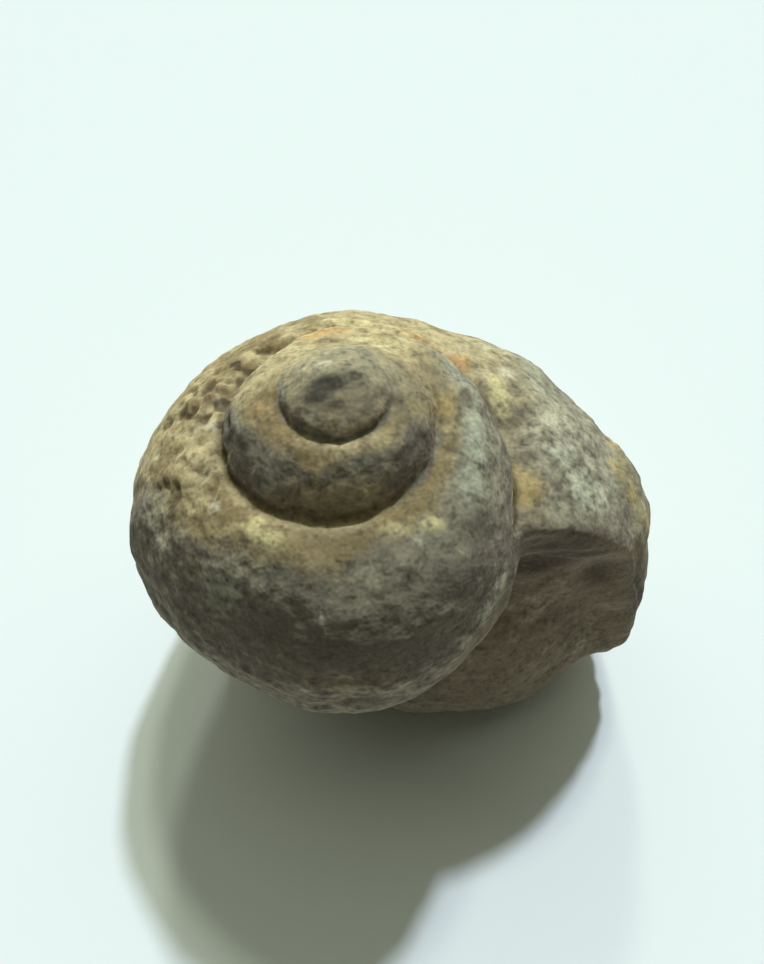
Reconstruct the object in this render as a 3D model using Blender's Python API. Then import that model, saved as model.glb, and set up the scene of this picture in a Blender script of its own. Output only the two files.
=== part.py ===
"""Fossil shell: the stone cast of a coiled snail shell, standing on its worn base with the spire up.

World frame: metres, +Z up. The coil's axis is the Z axis, the worn base lies in the plane Z = 0,
and the mouth of the shell is at +X and faces -Y.
"""
import bpy
import bmesh
import numpy as np

for old in list(bpy.data.objects):
    bpy.data.objects.remove(old, do_unlink=True)

MM = 0.001

# Coil: the seam's radius grows by the same factor each turn, and the seam sinks in proportion
TIP_HEIGHT = 70.8 * MM          # height of the point that the spire runs up to, before wear
SEAM_RADIUS = 19.7 * MM         # radius of the seam where it reaches the mouth
GROWTH = 1.99                   # widening of the coil in one whole turn
MOUTH_BEARING = -23.0           # degrees anticlockwise from +X, where the seam reaches the mouth
SEAM_DROP = 1.09                # depth of the seam below the tip, over its radius
TURNS = 3.5                     # turns of the coil that are left
SEAM_TURNS = 2.5                # turns on which the seam still shows as a groove
MOUTH_PLANE = -7.6 * MM         # the lip is broken off straight along this Y
LONGEST_REACH = 57.0            # degrees past +X that the inner side of the tube runs on to
TIP_ROUNDING = 200.0            # degrees over which the oldest end of the tube rounds off
LIP_SLANT = 0.075               # how far back the lip's upper edge runs to its outer side, over its length
LIP_START = 20.0 * MM           # X from which it runs back
LIP_SLANT_ABOVE = (29.0 * MM, 39.0 * MM)    # Z over which it sets in

# Lean of the spire: its shift, its drawing out along X, and the radii and heights over which these set in
LEAN = np.array((0.3, 0.6, 0.0)) * MM
LEAN_WIDENING = 0.07
LEAN_FADE = (17.0 * MM, 8.0 * MM)
LEAN_ABOVE = (50.0 * MM, 57.0 * MM)

# Smoothing by wear: how often each point moves to the middle of its neighbours, and how far, at the tip, at
# the back of the spire and along the seam
WEAR_ROUNDS = 10
TIP_WORN_ABOVE = (64.8 * MM, 66.4 * MM)
BACK_WORN_ABOVE = (59.5 * MM, 61.5 * MM)
BACK_WORN_BEHIND = (0.0 * MM, 4.0 * MM)
BACK_WEAR = 0.6
SEAM_WEAR = 0.22
SEAM_WEAR_WIDTH = 2.4 * MM

# Section of the coil's tube, in seam radii: four quarter superellipses about one centre
CENTRE_OUT = 0.98
CENTRE_DROP = 2.64
OUTER_REACH = 1.08
INNER_REACH = 0.98
RISE = 1.55
FALL = 1.08
OUTER_POWER = 1.81
INNER_POWER = 2.4
LOWER_POWER = 2.88

# Fullness of the outer side along the last turn: bearing in degrees, factor on OUTER_REACH
FULLNESS = (
    (-60, 0.62), (-30, 0.87), (0, 1.07), (30, 1.04), (60, 0.90), (90, 0.81), (120, 0.82), (150, 0.91),
    (180, 1.00), (210, 0.97), (240, 0.90), (270, 1.12), (300, 1.15), (330, 1.11), (360, 1.04), (390, 0.97),
    (420, 0.91),
)

# Rock under the shell, in millimetres: centre, reach along X and Y, rise and fall, and squareness.
# The first mass rounds off the underside of the last turn, the second is the foot it stands on, and the
# third is the worn knob at the tip.
MASSES = (
    ((0.0, 3.0, 27.0), (22.5, 19.0), (12.0, 29.5), 2.1),
    ((12.0, 2.6, 10.0), (25.0, 19.4), (25.0, 11.2), 2.2),
    ((0.3, 0.7, 65.6), (3.6, 3.4), (2.7, 2.4), 1.7),
)

# Rock in the mouth, in millimetres as seen along Y: centre, reach (x and z) and forward push
MOUTH_FORMS = (
    ((23.6, 39.0), (5.2, 3.3), -1.3),
    ((21.0, 38.6), (2.6, 2.8), -0.6),
    ((17.0, 24.0), (11.0, 9.0), 3.2),
    ((21.0, 10.0), (12.0, 9.0), 3.4),
    ((31.2, 35.0), (2.8, 3.8), -0.6),
    ((25.0, 30.6), (4.4, 3.4), 0.8),
)
LIP_THICKNESS = 3.6 * MM        # the forms start this far in from the broken edge
RIM_WIDTH = 5.2 * MM            # from the outer edge in to the groove that sets off the rim
GROOVE_DEPTH = 0.5 * MM
GROOVE_WIDTH = 2.4 * MM
GROOVE_START = (27.0 * MM, 32.0 * MM)       # X over which the groove sets in
GROOVE_BOTTOM = (5.0 * MM, 12.0 * MM)       # Z over which it fades at its lower end
GROOVE_TOP = (40.0 * MM, 35.0 * MM)         # Z over which it fades at its upper end

# Bare rock, rougher than the shell's cast: the places over which it sets in, the first one behind the lip
ROCK_IN_FRONT = (1.2 * MM, 0.0 * MM)
ROCK_RIGHT_OF = (9.0 * MM, 15.0 * MM)
ROCK_UNDER_LIP = (47.0 * MM, 43.0 * MM)
ROCK_AT_FOOT = (16.0 * MM, 8.0 * MM)
ROCK_ROUGHNESS = 0.35           # how much deeper its lumps are

# Wear, in millimetres: centre, reach and depth of single dents (below zero) and swellings (above)
DENTS = (
    ((18.8, 5.5, 50.7), (3.2, 4.0, 3.0), -0.9),
    ((-13.0, 10.8, 54.2), (3.4, 1.6, 2.4), -0.8),
    ((-8.6, 13.0, 54.4), (3.0, 1.4, 2.0), -0.8),
    ((28.6, 12.2, 42.8), (4.0, 4.0, 4.0), -0.6),
    ((34.2, 5.0, 38.2), (3.0, 3.4, 3.6), 0.7),
    ((-17.9, 8.5, 52.5), (1.3, 1.3, 1.3), -0.9),
    ((-13.8, 6.6, 55.4), (1.2, 1.0, 1.2), -0.8),
    ((-15.4, 3.5, 55.4), (1.5, 1.2, 1.4), -0.9),
    ((-17.2, 1.0, 54.6), (1.1, 1.3, 1.2), -0.8),
    ((-14.9, -4.2, 56.0), (1.2, 1.2, 1.2), -0.7),
    ((-19.6, 4.6, 52.6), (1.2, 1.0, 1.2), -0.7),
    ((-12.2, 9.0, 55.2), (1.0, 1.2, 1.2), -0.7),
    ((16.2, 8.6, 52.0), (2.4, 2.2, 2.4), 0.6),
    ((26.0, 2.0, 48.8), (4.0, 4.0, 4.0), 0.5),
    ((-7.2, -11.8, 57.3), (2.6, 2.0, 2.0), 0.5),
    ((-24.0, 10.0, 40.0), (7.0, 8.0, 9.0), -0.7),
    ((8.0, 28.0, 34.0), (9.0, 6.0, 11.0), -0.9),
    ((30.0, 16.0, 20.0), (7.0, 8.0, 8.0), -0.8),
    ((-16.0, 20.0, 30.0), (8.0, 7.0, 8.0), 0.8),
)

# Crust left on the outer flank by the mouth: a plate a little proud of the cast
CRUST_CENTRE = np.array((38.5, 2.5, 31.5)) * MM
CRUST_REACH = np.array((8.0, 10.5, 12.5)) * MM
CRUST_PROUD = 0.6 * MM
CRUST_BEHIND = (1.0 * MM, 3.0 * MM)         # distance behind the lip over which it sets in
CRUST_EDGE = ((7.0 * MM, 0.22, 23), (3.0 * MM, 0.14, 29))   # cell, share and seed of its raggedness
EDGE_SLOPE = 0.12               # share of its reach over which the crust's edge falls off

# Wear all over: cell, depth and seed of each size of lump, and the groove along the seam
LUMPS = ((10.0 * MM, 0.50 * MM, 3), (4.5 * MM, 0.28 * MM, 7), (2.2 * MM, 0.16 * MM, 11))
SEAM_DEPTH = 0.7 * MM
SEAM_WIDTH = 1.2 * MM

# How sharp the seam still is along the coil: bearing in degrees and share
SEAM_SHARPNESS = (
    (-23, 1.0), (20, 0.7), (50, 0.5), (150, 0.5), (190, 0.8), (300, 0.9), (370, 0.6), (400, 0.1), (500, 0.1),
    (550, 0.8), (680, 0.7), (740, 0.2), (780, 0.0),
)

# Rings that fill the mouth from its edge inwards, as shares of the edge's own size
CAP_RINGS = (0.985, 0.96, 0.93, 0.9, 0.86, 0.82, 0.77, 0.72, 0.66, 0.6, 0.52, 0.44, 0.34, 0.22, 0.1)
AROUND = 120                    # points round the tube's section
STEP = 3.0                      # degrees between sections
MASS_AROUND = 72                # points round a mass of rock
MASS_RINGS = 40                 # rings from its bottom to its top
VOXEL = 0.95 * MM               # cell that fuses the whorls and the rock into one skin
FACETS = 9000                   # triangles of the finished solid, before the base is cut
SHARP_ANGLE = 50.0              # degrees between facets that still shade as one surface
FAR = 1.0                       # a distance that nothing on the stone reaches
STONE_COLOUR = (0.21, 0.17, 0.11, 1.0)
STONE_ROUGHNESS = 0.9


def superellipse(x, power):
    """x raised to 2/power with its sign kept: one coordinate of a superellipse."""
    return np.sign(x) * np.abs(x) ** (2.0 / power)


def smooth_step(x, start, end):
    """0 before start, 1 past end, and an even slope between."""
    t = np.clip((x - start) / (end - start), 0.0, 1.0)
    return t * t * (3.0 - 2.0 * t)


def lattice_noise(points, cell, seed):
    """Noise from -1 to 1: fixed random values at the corners of a cubic lattice, blended smoothly between."""
    grid = points / cell
    corner = np.floor(grid).astype(np.int64)
    part = grid - corner
    part = part * part * (3.0 - 2.0 * part)
    total = np.zeros(len(points))
    for dx in (0, 1):
        for dy in (0, 1):
            for dz in (0, 1):
                key = (corner[:, 0] + dx) * 73856093 ^ (corner[:, 1] + dy) * 19349663
                key = key ^ (corner[:, 2] + dz) * 83492791 ^ seed * 2654435761
                key = (key ^ (key >> 13)) * 1274126177
                value = ((key ^ (key >> 16)) & 0xFFFF) / 32767.5 - 1.0
                share = np.abs(1 - dx - part[:, 0]) * np.abs(1 - dy - part[:, 1]) * np.abs(1 - dz - part[:, 2])
                total += value * share
    return total


def tube_point(bearing, turn_angle):
    """Point of the coil's skin at an unwound bearing in degrees and an angle round the section."""
    seam = SEAM_RADIUS * GROWTH ** (-(bearing - MOUTH_BEARING) / 360.0)
    places, factors = np.array(FULLNESS).T
    full = np.interp(bearing, places, factors)
    out, up = np.cos(turn_angle), np.sin(turn_angle)
    power = np.where(up > 0, np.where(out > 0, OUTER_POWER, INNER_POWER), LOWER_POWER)
    reach = np.where(out > 0, OUTER_REACH * full, INNER_REACH)
    radius = seam * (CENTRE_OUT + reach * superellipse(out, power))
    height = TIP_HEIGHT + seam * (np.where(up > 0, RISE, FALL) * superellipse(up, power) - CENTRE_DROP)
    angle = np.radians(bearing)
    return np.stack([radius * np.cos(angle), radius * np.sin(angle), height], axis=-1)


def leaned(points, sense=1.0):
    """Points of the upright spire moved to the leaning one, or back again with a sense of -1."""
    share = smooth_step(np.hypot(points[..., 0], points[..., 1]), *LEAN_FADE)
    share = sense * share * smooth_step(points[..., 2], *LEAN_ABOVE)
    return points + share[..., None] * (LEAN + points * (LEAN_WIDENING, 0.0, 0.0))


def lip_plane(points):
    """Y of the broken lip: straight, and its upper edge running back from its start outwards."""
    back = LIP_SLANT * np.maximum(points[:, 0] - LIP_START, 0.0)
    return MOUTH_PLANE + back * smooth_step(points[:, 2], *LIP_SLANT_ABOVE)


def mouth_bearings(turn_angle):
    """Bearing at which each line along the tube meets the plane of the broken lip."""
    bearing = np.full(len(turn_angle), MOUTH_BEARING)
    longest = np.sin(np.radians(LONGEST_REACH))
    for _ in range(8):
        point = tube_point(bearing, turn_angle)
        radius = np.maximum(np.hypot(point[:, 0], point[:, 1]), 1e-6)
        bearing = -np.degrees(np.arcsin(np.clip(-lip_plane(point) / radius, 0.0, longest)))
    return bearing


def mouth_relief(x, z, inward):
    """Forward push of the rock in the mouth at a place on it; inward is the distance in from the rim."""
    push = np.zeros(len(x))
    for (form_x, form_z), (reach_x, reach_z), amount in MOUTH_FORMS:
        away = ((x / MM - form_x) / reach_x) ** 2 + ((z / MM - form_z) / reach_z) ** 2
        push += amount * MM * np.exp(-away ** 1.5)
    push *= smooth_step(inward, LIP_THICKNESS * 0.5, LIP_THICKNESS * 1.4)
    groove = GROOVE_DEPTH * np.exp(-((inward - RIM_WIDTH) / GROOVE_WIDTH) ** 2)
    groove *= smooth_step(x, *GROOVE_START) * smooth_step(z, *GROOVE_BOTTOM) * smooth_step(z, *GROOVE_TOP)
    return push - groove


def closed_grid(rings, first_centre=None, last_centre=None):
    """Vertices and faces of a tube from rings of points, with a fan at each end that has a centre."""
    count, around = rings.shape[:2]
    vertices = rings.reshape(-1, 3)
    here = np.arange(around)
    ahead = np.roll(here, -1)
    start = np.arange(count - 1)[:, None] * around
    quads = np.stack([start + here, start + ahead, start + around + ahead, start + around + here], axis=-1)
    faces = quads.reshape(-1, 4).tolist()
    if first_centre is not None:
        centre = len(vertices)
        vertices = np.vstack([vertices, first_centre])
        faces += [(centre, b, a) for a, b in zip(here.tolist(), ahead.tolist())]
    if last_centre is not None:
        centre = len(vertices)
        vertices = np.vstack([vertices, last_centre])
        last = (count - 1) * around
        faces += [(centre, last + a, last + b) for a, b in zip(here.tolist(), ahead.tolist())]
    return vertices, faces


def coil():
    """The tube from the worn tip to the broken lip, closed by the rock in the mouth."""
    turn_angle = np.linspace(0.0, 2.0 * np.pi, AROUND, endpoint=False)
    ends = mouth_bearings(turn_angle)
    oldest = MOUTH_BEARING + 360.0 * TURNS
    count = int(360.0 * TURNS / STEP)
    share = np.linspace(0.0, 1.0, count)[:, None]
    bearing = oldest + (ends[None, :] - oldest) * share
    rings = tube_point(bearing, np.broadcast_to(turn_angle, bearing.shape))
    grown = np.clip((oldest - bearing[:, :1]) / TIP_ROUNDING, 0.02, 1.0)[..., None]
    centres = rings.mean(axis=1, keepdims=True)
    rings = leaned(centres + (rings - centres) * np.sqrt(1.0 - (1.0 - grown) ** 2))
    rim = rings[-1]
    middle = rim.mean(axis=0)
    caps = []
    for keep in CAP_RINGS:
        ring = middle + (rim - middle) * keep
        inward = np.min(np.linalg.norm(ring[:, None, ::2] - rim[None, :, ::2], axis=2), axis=1)
        ring[:, 1] -= mouth_relief(ring[:, 0], ring[:, 2], inward)
        caps.append(ring)
    rings = np.concatenate([rings, np.array(caps)])
    return closed_grid(rings, rings[0].mean(axis=0), caps[-1].mean(axis=0))


def mass(centre, reach, heights, power):
    """A mass of rock: a superellipsoid with its own rise above and fall below its centre."""
    turn = np.linspace(0.0, 2.0 * np.pi, MASS_AROUND, endpoint=False)
    slope = np.linspace(-0.48, 0.48, MASS_RINGS)[:, None] * np.pi
    level = superellipse(np.cos(slope), power)
    up = superellipse(np.sin(slope), power)
    x = centre[0] + reach[0] * level * np.cos(turn)
    y = centre[1] + reach[1] * level * np.sin(turn)
    z = centre[2] + np.where(up > 0, heights[0], heights[1]) * up + 0.0 * turn
    rings = np.stack([x, y, z], axis=-1) * MM
    return closed_grid(rings, rings[0].mean(axis=0), rings[-1].mean(axis=0))


def new_object(name, vertices, faces):
    """An object from vertices and faces, with its faces turned outwards."""
    mesh = bpy.data.meshes.new(name)
    mesh.from_pydata(vertices.tolist(), [], faces)
    shape = bmesh.new()
    shape.from_mesh(mesh)
    bmesh.ops.recalc_face_normals(shape, faces=shape.faces)
    shape.to_mesh(mesh)
    shape.free()
    made = bpy.data.objects.new(name, mesh)
    bpy.context.scene.collection.objects.link(made)
    return made


def evaluated_mesh(source):
    """A copy of an object's mesh with its modifiers applied."""
    graph = bpy.context.evaluated_depsgraph_get()
    return bpy.data.meshes.new_from_object(source.evaluated_get(graph))


def fused_skin():
    """One closed skin round the coil and the rock under it, on a fine cubic grid."""
    vertices, faces = coil()
    for form in MASSES:
        more_vertices, more_faces = mass(*form)
        shift = len(vertices)
        vertices = np.vstack([vertices, more_vertices])
        faces += [tuple(i + shift for i in face) for face in more_faces]
    rough = new_object("rough", vertices, faces)
    fuse = rough.modifiers.new("fuse", "REMESH")
    fuse.mode = "VOXEL"
    fuse.voxel_size = VOXEL
    mesh = evaluated_mesh(rough)
    bpy.data.objects.remove(rough, do_unlink=True)
    return mesh


def seam_distance(points):
    """Distance to the seam in the plane through the axis and the point, and how sharp the seam is there."""
    points = leaned(points, -1.0)
    radius = np.hypot(points[:, 0], points[:, 1])
    bearing = np.degrees(np.arctan2(points[:, 1], points[:, 0]))
    nearest = np.full(len(points), FAR)
    sharpness = np.zeros(len(points))
    for turn in range(int(SEAM_TURNS) + 2):
        unwound = bearing + 360.0 * turn
        seam = SEAM_RADIUS * GROWTH ** (-(unwound - MOUTH_BEARING) / 360.0)
        away = np.hypot(radius - seam, points[:, 2] - TIP_HEIGHT + SEAM_DROP * seam)
        inside = (unwound > MOUTH_BEARING) & (unwound < MOUTH_BEARING + 360.0 * SEAM_TURNS)
        away = np.where(inside, away / np.sqrt(seam / SEAM_RADIUS), FAR)
        sharpness = np.where(away < nearest, np.interp(unwound, *np.array(SEAM_SHARPNESS).T), sharpness)
        nearest = np.minimum(nearest, away)
    return nearest, sharpness


def worn_smooth(mesh, points):
    """Points with the tip, the back of the spire and the seam worn smooth.

    There each point moves a share of its way to the middle of its neighbours, over and over.
    """
    near, _ = seam_distance(points)
    back = smooth_step(points[:, 2], *BACK_WORN_ABOVE) * smooth_step(points[:, 1], *BACK_WORN_BEHIND)
    share = np.maximum(smooth_step(points[:, 2], *TIP_WORN_ABOVE), BACK_WEAR * back)
    share = np.maximum(share, SEAM_WEAR * (near < SEAM_WEAR_WIDTH))
    edges = np.empty(len(mesh.edges) * 2, dtype=np.int64)
    mesh.edges.foreach_get("vertices", edges)
    ends = np.concatenate([edges[0::2], edges[1::2]])
    others = np.concatenate([edges[1::2], edges[0::2]])
    count = np.maximum(np.bincount(ends, minlength=len(points)), 1)
    for _ in range(WEAR_ROUNDS):
        sums = [np.bincount(ends, points[others, axis], len(points)) for axis in range(3)]
        points = points + share[:, None] * (np.stack(sums, axis=1) / count[:, None] - points)
    return points


def wear(points):
    """Height of the worn surface over the smooth one: seam, lumps, single dents and the plate of crust."""
    near, sharpness = seam_distance(points)
    height = -SEAM_DEPTH * sharpness * np.exp(-(near / SEAM_WIDTH) ** 2)
    behind = points[:, 1] - lip_plane(points)
    rock = smooth_step(behind, *ROCK_IN_FRONT) * smooth_step(points[:, 0], *ROCK_RIGHT_OF)
    rock *= smooth_step(points[:, 2], *ROCK_UNDER_LIP)
    rock = np.maximum(rock, smooth_step(points[:, 2], *ROCK_AT_FOOT))
    for cell, depth, seed in LUMPS:
        height += depth * (1.0 + ROCK_ROUGHNESS * rock) * lattice_noise(points, cell, seed)
    for centre, reach, depth in DENTS:
        away = (points - np.array(centre) * MM) / (np.array(reach) * MM)
        height += depth * MM * np.exp(-(away ** 2).sum(axis=1))
    away = np.linalg.norm((points - CRUST_CENTRE) / CRUST_REACH, axis=1)
    edge = 1.0
    for cell, depth, seed in CRUST_EDGE:
        edge = edge + depth * lattice_noise(points, cell, seed)
    crust = smooth_step(away, edge + EDGE_SLOPE, edge - EDGE_SLOPE) * smooth_step(behind, *CRUST_BEHIND)
    return height + CRUST_PROUD * crust


def read_vectors(mesh, name):
    """One of the mesh's vectors per vertex as an array of rows."""
    values = np.empty(len(mesh.vertices) * 3)
    mesh.vertices.foreach_get(name, values)
    return values.reshape(-1, 3)


def fossil_shell():
    """The whole stone: the fused skin, worn, thinned to facets and cut flat where it stands."""
    mesh = fused_skin()
    mesh.vertices.foreach_set("co", worn_smooth(mesh, read_vectors(mesh, "co")).ravel())
    mesh.update()
    points = read_vectors(mesh, "co")
    points += read_vectors(mesh, "normal") * wear(points)[:, None]
    mesh.vertices.foreach_set("co", points.ravel())
    mesh.update()
    stone = bpy.data.objects.new("fossil_shell", mesh)
    bpy.context.scene.collection.objects.link(stone)
    triangles = sum(len(face.vertices) - 2 for face in mesh.polygons)
    thin = stone.modifiers.new("thin", "DECIMATE")
    thin.ratio = FACETS / triangles
    thinned = evaluated_mesh(stone)
    stone.modifiers.clear()
    shape = bmesh.new()
    shape.from_mesh(thinned)
    parts = shape.verts[:] + shape.edges[:] + shape.faces[:]
    cut = bmesh.ops.bisect_plane(shape, geom=parts, dist=0.02 * MM, plane_co=(0, 0, 0), plane_no=(0, 0, -1),
                                 clear_outer=True)
    rim = [part for part in cut["geom_cut"] if isinstance(part, bmesh.types.BMEdge)]
    bmesh.ops.holes_fill(shape, edges=rim, sides=0)
    bmesh.ops.triangulate(shape, faces=shape.faces)
    bmesh.ops.recalc_face_normals(shape, faces=shape.faces)
    shape.to_mesh(thinned)
    shape.free()
    stone.data = thinned
    stone.data.shade_smooth()
    stone.data.set_sharp_from_angle(angle=np.radians(SHARP_ANGLE))
    stone.data.materials.clear()
    stone.data.materials.append(stone_material())


def stone_material():
    """Grey-brown weathered limestone, dull all over."""
    material = bpy.data.materials.new("weathered_limestone")
    material.use_nodes = True
    shader = material.node_tree.nodes["Principled BSDF"]
    shader.inputs["Base Color"].default_value = STONE_COLOUR
    shader.inputs["Roughness"].default_value = STONE_ROUGHNESS
    shader.inputs["Metallic"].default_value = 0.0
    return material


fossil_shell()
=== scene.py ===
"""Fossil shell: the fine surface and finish of a stone cast of a coiled snail shell, on a pale floor.

World frame: metres, +Z up. The coil's axis is the Z axis, the worn base rests on the plane Z = 0,
and the mouth of the shell is at +X and faces -Y.
"""
import bmesh
import bpy
import numpy as np
from mathutils import Matrix, Vector


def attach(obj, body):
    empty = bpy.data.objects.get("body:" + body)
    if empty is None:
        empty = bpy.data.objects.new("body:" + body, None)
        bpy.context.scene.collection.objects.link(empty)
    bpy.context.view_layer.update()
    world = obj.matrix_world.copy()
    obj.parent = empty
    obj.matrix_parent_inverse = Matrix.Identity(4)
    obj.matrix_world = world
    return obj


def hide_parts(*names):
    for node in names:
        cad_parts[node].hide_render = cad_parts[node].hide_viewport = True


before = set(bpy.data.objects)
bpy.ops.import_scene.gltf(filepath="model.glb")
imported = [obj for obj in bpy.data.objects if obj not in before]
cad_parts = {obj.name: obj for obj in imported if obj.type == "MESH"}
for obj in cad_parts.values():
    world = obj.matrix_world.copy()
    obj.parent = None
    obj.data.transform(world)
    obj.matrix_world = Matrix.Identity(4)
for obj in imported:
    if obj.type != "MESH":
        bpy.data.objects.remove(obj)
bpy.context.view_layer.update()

bl_info = {
    "name": "Fossil Shell",
    "version": (1, 0, 0),
    "blender": (4, 5, 0),
    "location": "3D View > Sidebar > Fossil Shell",
    "description": "Makes a weathered stone cast of a coiled snail shell, and a floor to show it on",
    "category": "Add Mesh",
}

MM = 0.001
NODE = "fossil_shell"

# Coil: how its seam sinks and how far it runs; bearings are in degrees anticlockwise from +X
SEAM_DROP = 1.09  # depth of the seam below the tip, over its radius
CREASE_RATIO = 0.985  # radius of the crease that shows, over the seam's
MOUTH_BEARING = -23.0  # where the seam reaches the mouth
TURNS = 3.5  # turns of the coil that are left
SEAM_TURNS = 2.75  # turns on which the seam still shows as a groove
LONGEST_REACH = 57.0  # degrees past +X that the inner side of the tube runs on to
MOUTH_ROUNDS = 8  # times that the bearing of the broken lip is refined
LEAST_RADIUS = 1e-6  # keeps a division from failing on the axis
TIP_ROUNDING = 200.0  # degrees over which the oldest end of the tube rounds off
TIP_LEAST = 0.02  # least share of those, so that its first ring is no point
LIP_SLANT = 0.17  # how far back the broken lip runs to its outer side, over its length
LIP_START = 21.0 * MM  # X from which it runs back
LIP_SLANT_ABOVE = (29.0 * MM, 39.0 * MM)  # heights over which that sets in

# Lean of the spire: its shift, its drawing out along X, and the radii and heights over which it sets in
LEAN = np.array((0.3, 0.6, 0.0)) * MM
LEAN_WIDENING = 0.07
LEAN_FADE = (17.0 * MM, 8.0 * MM)
LEAN_ABOVE = (50.0 * MM, 57.0 * MM)

# Smoothing by wear: how often each point moves to the middle of its neighbours, and how far, at the
# tip, at the back of the spire, along the seam and at the broken lip
WEAR_ROUNDS = 60
TIP_WORN_ABOVE = (64.8 * MM, 66.4 * MM)
BACK_WORN_ABOVE = (59.5 * MM, 61.5 * MM)
BACK_WORN_BEHIND = (-2.5 * MM, 1.5 * MM)
BACK_WEAR = 0.9
SEAM_WEAR = 0.22
SEAM_WEAR_WIDTH = 2.4 * MM
LIP_WEAR = 0.35
LIP_WEAR_REACH = 2.6 * MM

# Section of the coil's tube, in seam radii: four quarter superellipses about one centre
CENTRE_OUT = 0.98
CENTRE_DROP = 2.64
OUTER_REACH = 1.08
INNER_REACH = 0.98
RISE = 1.55
FALL = 1.08
OUTER_POWER = 1.81
INNER_POWER = 2.4
LOWER_POWER = 2.88

# Fullness of the outer side along the last turn: bearing in degrees, factor on OUTER_REACH
FULLNESS = (
    (-60, 0.62), (-30, 0.87), (0, 1.07), (30, 1.04), (60, 0.9), (90, 0.81), (120, 0.82), (150, 0.91),
    (180, 1), (210, 0.97), (240, 0.9), (270, 1.12), (300, 1.15), (330, 1.11), (360, 1.04),
    (390, 0.97), (420, 0.91),
)
FULLNESS_BLEND = (-12.0, -6.0, 0.0, 6.0, 12.0)  # degrees over which the fullness is averaged

# Rock under the shell, and the worn knob at its tip, in millimetres: centre, reach along X and Y,
# rise and fall, and squareness
MASSES = (
    ((0, 3, 27), (22.5, 19), (12, 29.5), 2.1),
    ((12, 2.6, 10), (25, 19.4), (25, 11.2), 2.2),
    ((0.3, 0.7, 65.6), (3.6, 3.4), (2.7, 2.4), 1.7),
)

# Rock in the mouth, in millimetres as seen along Y: centre (x and z), reach and forward push
MOUTH_FORMS = (
    ((23.6, 38.4), (5.2, 3.3), -0.45),
    ((21, 38.2), (2.6, 2.8), -0.25),
    ((17, 24), (11, 9), 3.2),
    ((21, 10), (12, 9), 3.4),
    ((31.2, 35), (2.8, 3.8), -0.6),
    ((25, 30.6), (4.4, 3.4), 0.8),
)
LIP_THICKNESS = 3.6 * MM
FORMS_SET_IN = (LIP_THICKNESS * 0.5, LIP_THICKNESS * 1.4)  # distance in from the broken edge
RIM_WIDTH = 5.2 * MM  # from the outer edge in to the groove that sets off the rim
GROOVE_DEPTH = 0.25 * MM
GROOVE_WIDTH = 2.4 * MM
GROOVE_START = (27.0 * MM, 32.0 * MM)
GROOVE_BOTTOM = (5.0 * MM, 12.0 * MM)
GROOVE_TOP = (40.0 * MM, 35.0 * MM)

# Single dents (below zero) and swellings (above), in millimetres: centre, reach and depth
DENTS = (
    ((18.8, 5.5, 50.7), (3.2, 4, 3), -0.9),
    ((-13, 10.8, 54.2), (3.4, 1.6, 2.4), -0.8),
    ((-8.6, 13, 54.4), (3, 1.4, 2), -0.8),
    ((28.6, 12.2, 42.8), (4, 4, 4), -0.6),
    ((34.2, 5, 38.2), (3, 3.4, 3.6), 1.1),
    ((36.6, 2.2, 35), (3, 4, 4), 0.9),
    ((38.6, -5, 29), (2.6, 3.4, 5), -1.2),
    ((-0.9, -0.4, 67.8), (1.6, 1, 1.8), -0.3),
    ((-4.2, 0.6, 65.6), (1.2, 2.2, 1.4), -0.25),
    ((-15.5, 14.6, 51.5), (6, 4, 5), -0.95),
    ((16, 21.5, 45), (6, 5, 6), -0.6),
    ((5, 20.5, 51), (8, 4, 5), -0.4),
    ((35.3, -8.4, 13.6), (4.6, 4.2, 5.2), 1.4),
    ((16.2, 8.6, 52), (2.4, 2.2, 2.4), 0.6),
    ((26, 2, 48.8), (4, 4, 4), 0.5),
    ((-7.2, -11.8, 57.3), (2.6, 2, 2), 0.5),
    ((-24, 10, 40), (7, 8, 9), -0.7),
    ((8, 28, 34), (9, 6, 11), -0.9),
    ((30, 16, 20), (7, 8, 8), -0.8),
    ((-16, 20, 30), (8, 7, 8), 0.8),
)

# Single pits, in millimetres: centre, radius and depth
PITS = (
    ((-17.6, 8, 53), 0.62, 0.9), ((-18.6, 8.9, 51.8), 0.5, 0.7), ((-16.2, 7.3, 54.2), 0.62, 0.8),
    ((-16.4, 3.4, 55), 0.85, 1), ((-15.6, 2.7, 55.4), 0.7, 0.8), ((-20.4, 5, 51.4), 0.6, 0.7),
    ((-13.4, 3.3, 55.8), 0.62, 0.9), ((-15.8, 0.1, 55.6), 0.55, 0.8), ((-14.7, -1.1, 56.1), 0.5, 0.7),
    ((-14.9, -4.2, 56), 0.6, 0.8), ((-17.7, -1.8, 54.6), 0.5, 0.7), ((-12.5, 0.4, 57), 0.6, 0.8),
    ((-8.7, 2.2, 62.5), 0.5, 0.6), ((-21.9, -0.6, 50.5), 0.6, 0.5), ((-14.3, -12.7, 53.1), 0.6, 0.5),
    ((-0.4, -15.2, 57.3), 0.5, 0.4), ((35.3, 3.9, 36.8), 0.8, 0.9), ((-13.3, 6.2, 55.6), 0.5, 0.7),
    ((-17, 5.4, 54.2), 0.5, 0.6), ((-12.9, 8.6, 55), 0.6, 0.6),
)
SINGLE_DEPTH = 0.5  # on all those depths

# Where the cast is pitted, in millimetres: centre, reach and strength; the gain, and the least anywhere
PITTED_PLACES = (
    ((-16, 2, 54), (6.5, 9.5, 6), 1), ((-12, 11, 53), (7, 6, 5), 0.8),
)
PITTED_GAIN = 1.5
PITTED_LEAST = 0.03

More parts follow.
